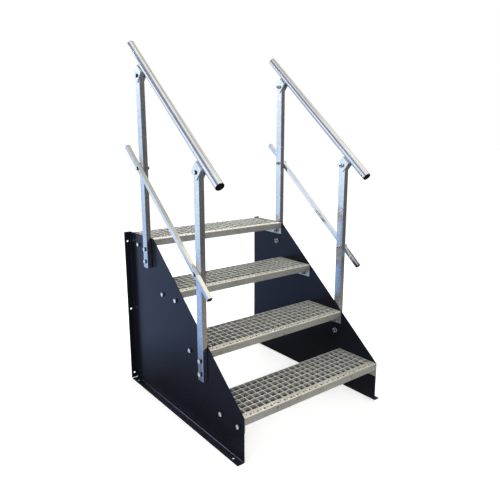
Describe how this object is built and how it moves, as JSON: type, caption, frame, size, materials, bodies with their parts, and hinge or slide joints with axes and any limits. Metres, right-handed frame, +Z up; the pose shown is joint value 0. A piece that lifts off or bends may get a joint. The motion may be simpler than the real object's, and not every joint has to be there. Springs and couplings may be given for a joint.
{
  "type": "freestanding stairs",
  "caption": "Short straight flight of open grating treads between bent sheet-steel cheeks, with handrails and knee rails on bolted posts",
  "frame": {"origin": "on the floor, in the middle of the space that the stairs take up", "axes": "+X to the right of someone about to climb, +Y up the flight towards its rear, +Z up"},
  "size_m": [0.9112, 0.955, 1.684],
  "materials": {
    "coated": "satin dark blue-grey powder coat",
    "galvanised": "hot-dip galvanised, smooth with a faint spangle",
    "grating": "hot-dip galvanised, dull",
    "zinc": "bright zinc plated",
    "plastic": "black moulded plastic"
  },
  "bodies": {
    "root": {"cheek_left": "coated", "cheek_right": "coated", "handrail_left": "galvanised", "handrail_plug_left_lower": "plastic", "handrail_plug_left_upper": "plastic", "handrail_plug_right_lower": "plastic", "handrail_plug_right_upper": "plastic", "handrail_right": "galvanised", "knee_rail_bolt_left_front": "zinc", "knee_rail_bolt_left_rear": "zinc", "knee_rail_bolt_right_front": "zinc", "knee_rail_bolt_right_rear": "zinc", "knee_rail_left": "galvanised", "knee_rail_plug_left_lower": "plastic", "knee_rail_plug_left_upper": "plastic", "knee_rail_plug_right_lower": "plastic", "knee_rail_plug_right_upper": "plastic", "knee_rail_right": "galvanised", "post_bolt_left_front": "zinc", "post_bolt_left_rear": "zinc", "post_bolt_right_front": "zinc", "post_bolt_right_rear": "zinc", "post_left_front": "galvanised", "post_left_rear": "galvanised", "post_right_front": "galvanised", "post_right_rear": "galvanised", "saddle_bolt_left_front": "zinc", "saddle_bolt_left_rear": "zinc", "saddle_bolt_right_front": "zinc", "saddle_bolt_right_rear": "zinc", "saddle_left_front": "galvanised", "saddle_left_rear": "galvanised", "saddle_right_front": "galvanised", "saddle_right_rear": "galvanised", "tread_1": "grating", "tread_2": "grating", "tread_3": "grating", "tread_4": "grating", "tread_bolt_1_left_front": "zinc", "tread_bolt_1_left_rear": "zinc", "tread_bolt_1_right_front": "zinc", "tread_bolt_1_right_rear": "zinc", "tread_bolt_2_left_front": "zinc", "tread_bolt_2_left_rear": "zinc", "tread_bolt_2_right_front": "zinc", "tread_bolt_2_right_rear": "zinc", "tread_bolt_3_left_front": "zinc", "tread_bolt_3_left_rear": "zinc", "tread_bolt_3_right_front": "zinc", "tread_bolt_3_right_rear": "zinc", "tread_bolt_4_left_front": "zinc", "tread_bolt_4_left_rear": "zinc", "tread_bolt_4_right_front": "zinc", "tread_bolt_4_right_rear": "zinc"}
  },
  "joints": []
}
